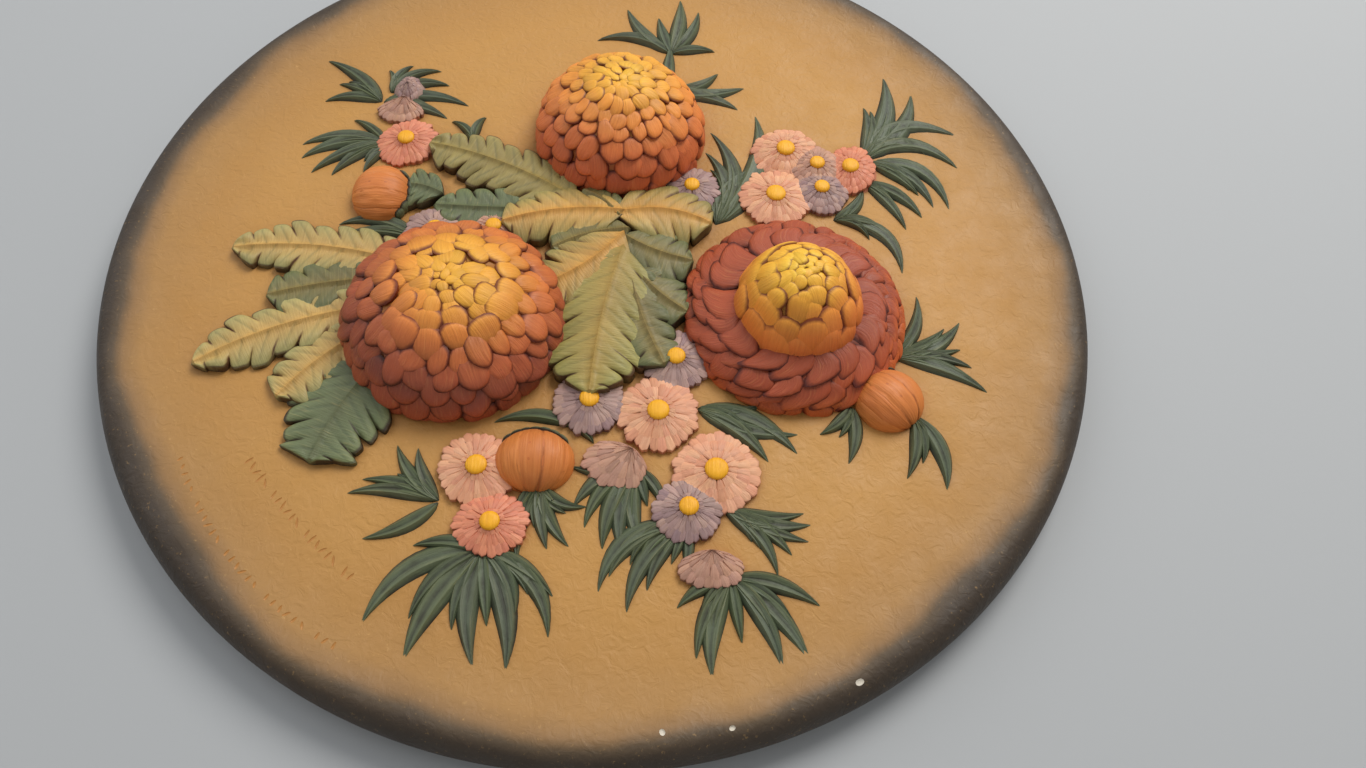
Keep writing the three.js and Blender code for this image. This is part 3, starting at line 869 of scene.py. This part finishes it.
def lens(x, y, half_width, half_height, cut, colour, finish, turn=0.0, segments=14):
    """A flat oval cutter, as deep as cut in the face of the disc."""
    profile = np.array(DISC_PROFILE[:6:-1]).T  # of the face, from the flat ground out to the crest
    top = float(np.interp(math.hypot(x, y), *profile))
    angle = np.arange(segments) / segments * TURN
    across = half_width * np.cos(angle)
    up = half_height * np.sin(angle)
    oval = np.column_stack(
        [
            x + across * math.cos(turn) - up * math.sin(turn),
            y + across * math.sin(turn) + up * math.cos(turn),
        ]
    )
    rows = [
        np.column_stack([(oval - (x, y)) * 1.3 + (x, y), np.full(segments, top + cut)]),
        np.column_stack([(oval - (x, y)) * 0.6 + (x, y), np.full(segments, top - cut)]),
    ]
    points = np.vstack([(x, y, top + cut), *rows, (x, y, top - 1.1 * cut)])
    paint = np.tile(colour, (len(points), 1))
    shell(points, ring_faces(segments, 2), paint, 0 * paint[:, 0], 0 * points[:, :2], finish)


def recess():
    """The blind slot in the back that the plaque hangs from."""
    half_run = 0.5 * (POCKET["width"] - POCKET["height"])
    radius = 0.5 * POCKET["height"]
    sides = 32
    angle = np.arange(sides) / sides * TURN - RIGHT_ANGLE + 0.5 * TURN / sides
    ends = np.where(np.cos(angle) > 0, half_run, -half_run)
    oval = np.column_stack([ends + radius * np.cos(angle), POCKET["y"] + radius * np.sin(angle)])
    heights = (POCKET["depth"], POCKET["depth"] - 0.01, -1.0)
    shares = (0.94, 1.0, 1.0)
    middle = np.array((0.0, POCKET["y"]))
    rows = [
        np.column_stack([middle + (oval - middle) * share, np.full(sides, z)])
        for z, share in zip(heights, shares)
    ]
    points = np.vstack([(0.0, POCKET["y"], POCKET["depth"]), *rows, (0.0, POCKET["y"], -1.0)])
    paint = np.ones((len(points), 3))
    shell(points, ring_faces(sides, 3), paint, 0 * paint[:, 0], points[:, :2], BARE_PLASTER)


# Rows of strokes in place of the inscription, which aren't letters. Each row: first x, y,
# last x, y, strokes, stroke length, bow of the row
STROKE_ROWS = [
    (-112, -84, -74, -122, 22, 4.6, 0.05),
    (-133, -84, -75, -143, 30, 3.2, 0.16),
]

# Chips: x, y, half width, half height
CHIPS = [(79, -153, 1.7, 1.2), (41, -166, 1.0, 0.8), (21, -167, 0.8, 1.0), (-37, -143, 0.7, 0.5)]


def strokes():
    pattern = (0.0, 0.5, -0.4, 0.15, 0.9, -0.15, 0.35)  # leans of the strokes, in turn
    for first_x, first_y, last_x, last_y, count, length, bow in STROKE_ROWS:
        row = on_field((first_x, first_y), (last_x, last_y), bow, 1.0)
        centres = row(np.zeros(count), np.linspace(0, 1, count), np.zeros(count))[:, :2]
        for index, (x, y) in enumerate(centres):
            if index % 7 == 5:
                continue
            lean = pattern[index % len(pattern)] + math.pi / 4 + jitter(0.1)
            half = 0.5 * length * random.uniform(0.7, 1.05)
            lens(x, y, half, 0.45, 0.22, STROKE_PAINT, RELIEF_PAINT, lean, 10)


def chips():
    for x, y, half_width, half_height in CHIPS:
        lens(x, y, half_width, half_height, 0.4, (1, 1, 1), BARE_PLASTER, 0.4, 12)


def joined(operation):
    """The first form in hand with all the others joined to it or cut from it, as one mesh."""
    base, *others = forms
    collection = bpy.data.collections.new("others")
    for form in others:
        collection.objects.link(form)
    bpy.context.scene.collection.children.link(collection)
    bpy.context.scene.collection.objects.link(base)
    step = base.modifiers.new(operation, "BOOLEAN")
    step.operation = operation
    step.solver = "MANIFOLD"
    step.operand_type = "COLLECTION"
    step.collection = collection
    graph = bpy.context.evaluated_depsgraph_get()
    whole = base.evaluated_get(graph)
    mesh = bpy.data.meshes.new_from_object(whole, preserve_all_data_layers=True, depsgraph=graph)
    for form in forms:
        bpy.data.meshes.remove(form.data)
    bpy.data.collections.remove(collection)
    forms.clear()
    return mesh


# ---- materials ----


class Paint:
    """A Principled material and short ways to add the nodes that it is built from."""

    def __init__(self, name, **shader):
        self.material = bpy.data.materials.new(name)
        self.material.use_nodes = True
        self.tree = self.material.node_tree
        self.shader = self.tree.nodes["Principled BSDF"]
        for socket, value in shader.items():
            self.shader.inputs[socket.replace("_", " ")].default_value = value
        self.object_place = self.node("ShaderNodeTexCoord").outputs["Object"]

    def node(self, kind, inputs=(), **settings):
        """A shader node with its settings and its unlinked and linked inputs."""
        node = self.tree.nodes.new(kind)
        for name, value in settings.items():
            setattr(node, name, value)
        for name, value in dict(inputs).items():
            if isinstance(value, bpy.types.NodeSocket):
                self.tree.links.new(value, node.inputs[name])
            else:
                node.inputs[name].default_value = value
        return node

    def link(self, output, name):
        self.tree.links.new(output, self.shader.inputs[name])

    def noise(self, scale, detail=4.0, roughness=0.55, vector=None):
        inputs = {"Scale": scale, "Detail": detail, "Roughness": roughness}
        inputs["Vector"] = vector or self.object_place
        return self.node("ShaderNodeTexNoise", inputs).outputs["Fac"]

    def math(self, operation, first, second):
        return self.node("ShaderNodeMath", {0: first, 1: second}, operation=operation).outputs[0]

    def span(self, value, low, high, to_low=0.0, to_high=1.0):
        inputs = {0: value, 1: low, 2: high, 3: to_low, 4: to_high}
        return self.node("ShaderNodeMapRange", inputs).outputs[0]

    def mix(self, share, first, second, blend_type="MIX"):
        inputs = {0: share, 6: first, 7: second}
        return self.node("ShaderNodeMix", inputs, data_type="RGBA", blend_type=blend_type).outputs[2]

    def ramp(self, value, stops):
        node = self.node("ShaderNodeValToRGB", {"Fac": value})
        elements = node.color_ramp.elements
        while len(elements) < len(stops):
            elements.new(1.0)
        for element, (at, colour) in zip(elements, stops):
            element.position = at
            element.color = (*colour, 1.0)
        return node.outputs["Color"]

    def bump(self, height, strength, distance, onto=None):
        inputs = {"Height": height, "Strength": strength, "Distance": distance}
        if onto:
            inputs["Normal"] = onto
        return self.node("ShaderNodeBump", inputs).outputs["Normal"]


def rgba(red, green, blue):
    return (*srgb(red, green, blue), 1.0)


def field_paint():
    """Tan airbrushed paint that turns olive and then nearly black towards the rim, with painted shade around
    the relief.
    """
    paint = Paint("field_paint", Roughness=0.6, Coat_Weight=0.03, Coat_Roughness=0.4)
    flat = paint.node("ShaderNodeVectorMath", {0: paint.object_place, 1: (1, 0, 1)}, operation="MULTIPLY")
    radius = paint.node("ShaderNodeVectorMath", {0: flat.outputs[0]}, operation="LENGTH").outputs["Value"]
    drift = paint.span(paint.noise(14.0, 3.0), 0.3, 0.7, -0.0035, 0.0035)
    reach = paint.math("DIVIDE", paint.math("ADD", radius, drift), RADIUS * MM)
    tan = paint.ramp(
        reach,
        [
            (0.0, srgb(200, 149, 77)),
            (0.7, srgb(196, 145, 74)),
            (0.82, srgb(186, 137, 71)),
            (0.9, srgb(176, 132, 74)),
            (0.932, srgb(150, 114, 70)),
            (0.952, srgb(92, 75, 54)),
            (0.97, srgb(64, 51, 37)),
            (1.0, srgb(56, 46, 36)),
        ],
    )
    cloud = paint.span(paint.noise(26.0, 5.0, 0.6), 0.35, 0.7)
    grain = paint.noise(700.0, 6.0, 0.7)
    base = paint.mix(paint.math("MULTIPLY", cloud, 0.3), tan, (0.9, 0.84, 0.76, 1.0), "MULTIPLY")
    fleck = paint.span(grain, 0.6, 0.72, 0.0, 0.3)
    base = paint.mix(fleck, base, rgba(226, 180, 110))
    # Painted shade around the relief: ambient occlusion darkens the field towards brown near the bouquet,
    # standing also for the brown airbrushed haze there.
    near = paint.node("ShaderNodeAmbientOcclusion", {"Distance": 0.014}, samples=6).outputs["AO"]
    shade = paint.span(near, 0.35, 0.95, 0.45, 0.0)
    base = paint.mix(shade, base, (0.45, 0.27, 0.2, 1.0), "MULTIPLY")
    paint.link(base, "Base Color")
    paint.link(paint.span(paint.noise(90.0, 5.0), 0.3, 0.7, 0.52, 0.7), "Roughness")
    dabs = paint.node(
        "ShaderNodeTexNoise",
        {"Vector": paint.object_place, "Scale": 260.0, "Detail": 3.0, "Distortion": 1.2},
    ).outputs["Fac"]
    waves = paint.bump(paint.noise(45.0, 2.0), 0.3, 0.0014)
    hammered = paint.bump(dabs, 0.5, 0.0009, waves)
    pores = paint.bump(grain, 0.2, 0.0003, hammered)
    paint.link(pores, "Normal")
    return paint.material


def relief_paint():
    """Brushed paint on the bouquet: each form's own colour, fine lengthwise strokes, dark crease
    paint with painted crease shade, and paler dry-brushed crests."""
    paint = Paint("relief_paint", Roughness=0.52, Coat_Weight=0.08, Coat_Roughness=0.35)
    own = paint.node("ShaderNodeAttribute", attribute_name="paint")
    groove = own.outputs["Alpha"]
    local = paint.node("ShaderNodeUVMap", uv_map="local").outputs[0]
    stretch = paint.node("ShaderNodeMapping", {"Vector": local, "Scale": (1.4, 0.09, 1.0)}).outputs[0]
    strokes_across = paint.noise(1.1, 3.0, 0.6, stretch)
    grain = paint.noise(900.0, 5.0, 0.65)
    cloud = paint.noise(120.0, 4.0, 0.6)

    pale = paint.mix(0.3, own.outputs["Color"], rgba(250, 206, 136))
    deep = paint.mix(0.3, own.outputs["Color"], (0.62, 0.48, 0.44, 1.0), "MULTIPLY")
    streak = paint.span(strokes_across, 0.34, 0.56)
    colour = paint.mix(streak, deep, own.outputs["Color"])
    high = paint.math("MULTIPLY", paint.span(strokes_across, 0.56, 0.72), paint.span(groove, 0.5, 0.0))
    colour = paint.mix(paint.math("MULTIPLY", high, 0.4), colour, pale)
    colour = paint.mix(paint.span(cloud, 0.35, 0.65, 0.0, 0.22), colour, deep)
    # Painted crease shade with dark crease paint: the groove value, broken up by cloud noise, mixes in a dark
    # brown.
    wash_and_shade = paint.math("ADD", groove, paint.span(cloud, 0.3, 0.7, -0.2, 0.2))
    dark = paint.mix(1.0, own.outputs["Color"], (0.22, 0.11, 0.09, 1.0), "MULTIPLY")
    colour = paint.mix(paint.span(wash_and_shade, 0.3, 0.85), colour, dark)
    varnished = paint.mix(1.0, colour, (1.0, 0.96, 0.78, 1.0), "MULTIPLY")
    paint.link(varnished, "Base Color")
    paint.link(paint.span(cloud, 0.3, 0.7, 0.46, 0.62), "Roughness")
    ridges = paint.bump(strokes_across, 0.5, 0.0007)
    paint.link(paint.bump(grain, 0.2, 0.0003, ridges), "Normal")
    return paint.material


def bare_plaster():
    """Unpainted plaster: off-white, dusty and pitted."""
    paint = Paint("bare_plaster", Roughness=0.85)
    cloud = paint.span(paint.noise(22.0, 5.0), 0.35, 0.65)
    colour = paint.mix(cloud, rgba(226, 219, 205), rgba(206, 196, 178))
    pits = paint.node("ShaderNodeTexVoronoi", {"Vector": paint.object_place, "Scale": 240.0})
    pit = paint.span(pits.outputs["Distance"], 0.0, 0.16)
    colour = paint.mix(pit, rgba(150, 138, 118), colour)
    paint.link(colour, "Base Color")
    rough = paint.bump(paint.noise(300.0, 6.0, 0.7), 0.3, 0.0006)
    paint.link(paint.bump(pit, 0.4, 0.0006, rough), "Normal")
    return paint.material


# ---- the pieces ----


def of_mesh(items, attribute, width, kind):
    """One attribute of many mesh elements as an array."""
    values = np.empty(len(items) * width, dtype=kind)
    items.foreach_get(attribute, values)
    return values.reshape(-1, width) if width > 1 else values


def bake_map(mesh, points):
    """A flat map for texture baking: what faces forward fills most of the square, and what
    faces back takes a corner of it."""
    corners = of_mesh(mesh.loops, "vertex_index", 1, np.int32)
    counts = of_mesh(mesh.polygons, "loop_total", 1, np.int32)
    forward = np.repeat(of_mesh(mesh.polygons, "normal", 3, float)[:, 2] > 0, counts)
    low, high = points[:, :2].min(axis=0), points[:, :2].max(axis=0)
    flat = (points[corners, :2] - low) / max(high - low)
    where = np.where(forward[:, None], 0.005 + 0.865 * flat, (0.875, 0.875) + 0.12 * flat)
    mesh.uv_layers.new(name="OFBake").uv.foreach_set("vector", where.ravel())


def sharpen(mesh, finish, degrees=40):
    """Marks creases sharp, and the edges between two finishes."""
    mesh.polygons.foreach_set("use_smooth", np.ones(len(mesh.polygons), dtype=bool))
    mesh.set_sharp_from_angle(angle=math.radians(degrees))
    edges = of_mesh(mesh.loops, "edge_index", 1, np.int32)
    of_corner = np.repeat(finish, of_mesh(mesh.polygons, "loop_total", 1, np.int32))
    lowest = np.full(len(mesh.edges), finish.max())
    highest = np.zeros(len(mesh.edges), dtype=np.int32)
    np.minimum.at(lowest, edges, of_corner)
    np.maximum.at(highest, edges, of_corner)
    layer = mesh.attributes.get("sharp_edge") or mesh.attributes.new("sharp_edge", "BOOLEAN", "EDGE")
    sharp = of_mesh(layer.data, "value", 1, bool)
    layer.data.foreach_set("value", sharp | (lowest != highest))


def piece(name, materials, operation="UNION"):
    """Joins the forms in hand, turns them upright, and shows them for the CAD plaque."""
    mesh = joined(operation)
    mesh.name = name
    points = of_mesh(mesh.vertices, "co", 3, float)
    bake_map(mesh, points)
    finish = of_mesh(mesh.attributes["finish"].data, "value", 1, np.int32)
    mesh.materials.clear()
    for material in materials:
        mesh.materials.append(material)
    mesh.polygons.foreach_set("material_index", finish if len(materials) > 1 else 0 * finish)
    row = np.column_stack([points[:, 0], -points[:, 2], points[:, 1]]) * MM
    mesh.vertices.foreach_set("co", row.ravel())
    sharpen(mesh, finish)
    mesh.update()
    made = bpy.data.objects.new(name, mesh)
    bpy.context.scene.collection.objects.link(made)
    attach(made, "root")
    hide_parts("plaque")


def plaque():
    brushed = relief_paint()
    disc()
    strokes()
    chips()
    recess()
    piece("disc", (field_paint(), brushed, bare_plaster()), "DIFFERENCE")
    for name, groups in BLOOMS.items():
        for group in groups:
            bloom(**group)
        piece(name, [brushed])
    for name, lobes in LEAVES.items():
        for lobe in lobes:
            leaf_lobe(*lobe)
        piece(name, [brushed])
    for name, groups in SPRAYS.items():
        for group in groups:
            spray(*group)
        piece(name, [brushed])
    for name, flowers in DAISIES.items():
        for flower in flowers:
            daisy(*flower)
        piece(name, [brushed])
    for oval in BUDS:
        bud(*oval)
    piece("buds", [brushed])


# ---- stage, light and camera ----

# In metres
WALL_HALF = 1.6
HOLE_RADIUS = 0.168  # of the opening behind the plaque
FLOOR_DROP = 1.2  # below the plaque's middle


def stage_material(name, colour, see_through_behind=False):
    paint = Paint(name, Roughness=0.7, Base_Color=rgba(*colour))
    if see_through_behind:
        output = paint.tree.nodes["Material Output"]
        behind = paint.node("ShaderNodeNewGeometry").outputs["Backfacing"]
        clear = paint.node("ShaderNodeBsdfTransparent").outputs[0]
        inputs = {0: behind, 1: paint.shader.outputs[0], 2: clear}
        cover = paint.node("ShaderNodeMixShader", inputs).outputs[0]
        paint.tree.links.new(cover, output.inputs["Surface"])
    return paint.material


def wall():
    """A pale backdrop at the plaque's back, open behind its middle and clear from behind."""
    sides = 96
    angle = np.arange(sides) / sides * TURN
    edge = WALL_HALF / np.maximum(np.abs(np.cos(angle)), np.abs(np.sin(angle)))
    points = []
    for radius in (np.full(sides, HOLE_RADIUS), edge):
        points += np.column_stack(
            [radius * np.cos(angle), np.full(sides, 0.0004), radius * np.sin(angle)]
        ).tolist()
    faces = [(i, sides + i, sides + (i + 1) % sides, (i + 1) % sides) for i in range(sides)]
    mesh = bpy.data.meshes.new("backdrop")
    mesh.from_pydata(points, [], faces)
    if mesh.polygons[0].normal.y > 0:
        mesh.flip_normals()
    mesh.materials.append(stage_material("backdrop", (180, 183, 185), True))
    return mesh


def floor():
    mesh = bpy.data.meshes.new("floor")
    low = -FLOOR_DROP
    corners = [(-4, -6, low), (4, -6, low), (4, 4, low), (-4, 4, low)]
    mesh.from_pydata(corners, [], [(0, 1, 2, 3)])
    mesh.materials.append(stage_material("floor", (214, 213, 210)))
    return mesh


def area_light(name, place, target, size, power, colour=(1, 1, 1)):
    light = bpy.data.lights.new(name, "AREA")
    light.shape = "DISK"
    light.size = size
    light.energy = power
    light.color = colour
    lamp = bpy.data.objects.new(name, light)
    lamp.location = place
    lamp.rotation_euler = aimed(place, target)
    bpy.context.scene.collection.objects.link(lamp)


def aimed(place, target):
    """The turn that points a light or a camera at its target."""
    return (Vector(target) - Vector(place)).to_track_quat("-Z", "Y").to_euler()


CAMERA_PLACE = (0.0117, -0.308, -0.2167)
CAMERA_TARGET = (0.0275, -0.013, -0.0525)
CAMERA_ROLL = -0.25  # degrees
CAMERA_LENS = 25.99


def camera():
    data = bpy.data.cameras.new("camera")
    data.lens = CAMERA_LENS
    data.sensor_width = 36.0
    data.clip_start = 0.01
    eye = bpy.data.objects.new("camera", data)
    eye.location = CAMERA_PLACE
    roll = Euler((0, 0, math.radians(CAMERA_ROLL))).to_quaternion()
    eye.rotation_euler = (aimed(CAMERA_PLACE, CAMERA_TARGET).to_quaternion() @ roll).to_euler()
    bpy.context.scene.collection.objects.link(eye)
    bpy.context.scene.camera = eye


def world():
    surroundings = bpy.data.worlds.new("studio")
    surroundings.use_nodes = True
    ground = surroundings.node_tree.nodes["Background"]
    ground.inputs["Color"].default_value = rgba(222, 223, 225)
    ground.inputs["Strength"].default_value = 0.55
    bpy.context.scene.world = surroundings


plaque()
for stage_mesh in (wall(), floor()):
    stand = bpy.data.objects.new(stage_mesh.name, stage_mesh)
    bpy.context.scene.collection.objects.link(stand)
    stand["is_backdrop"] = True
area_light("key", (0.55, -1.1, 0.75), (0, 0, 0), 0.8, 14.5, (1.0, 0.97, 0.93))
area_light("fill", (-0.9, -1.0, 0.6), (0, 0, 0), 1.4, 4.5, (0.95, 0.97, 1.0))
camera()
world()
bpy.context.scene.view_settings.view_transform = "Standard"

visual_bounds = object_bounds()
sizes = {"cad": cad_bounds, "visual": visual_bounds}
{name: [list(corner) for corner in box] for name, box in sizes.items()}
